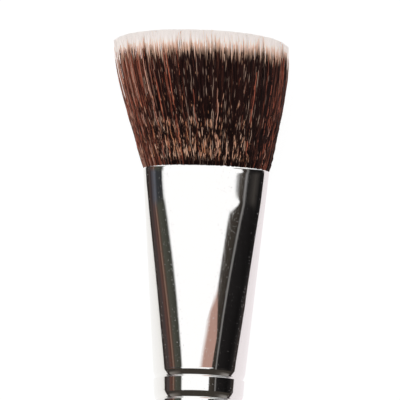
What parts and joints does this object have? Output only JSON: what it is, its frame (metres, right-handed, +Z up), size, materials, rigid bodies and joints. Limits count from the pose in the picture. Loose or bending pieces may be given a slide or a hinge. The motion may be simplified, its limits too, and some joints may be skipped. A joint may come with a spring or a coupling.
{
  "type": "flat contour brush",
  "caption": "Flat-topped make-up brush with dip-dyed synthetic hair, a polished oval-to-round metal ferrule with rolled crimps, and a turned black handle.",
  "frame": {"origin": "on the surface that the brush lies on, under the middle of its outer box", "axes": "+Y along the brush from the handle's tail to the hair's tips, +X across its flat side, +Z up through its flat side"},
  "size_m": [0.0248, 0.1701, 0.0132],
  "materials": {
    "hair": "satin",
    "polished_metal": "polished",
    "epoxy": "gloss",
    "lacquered_wood": "gloss"
  },
  "bodies": {
    "root": {"bristle_tuft": "hair", "ferrule": "polished_metal", "glue_plug": "epoxy", "handle": "lacquered_wood"}
  },
  "joints": []
}
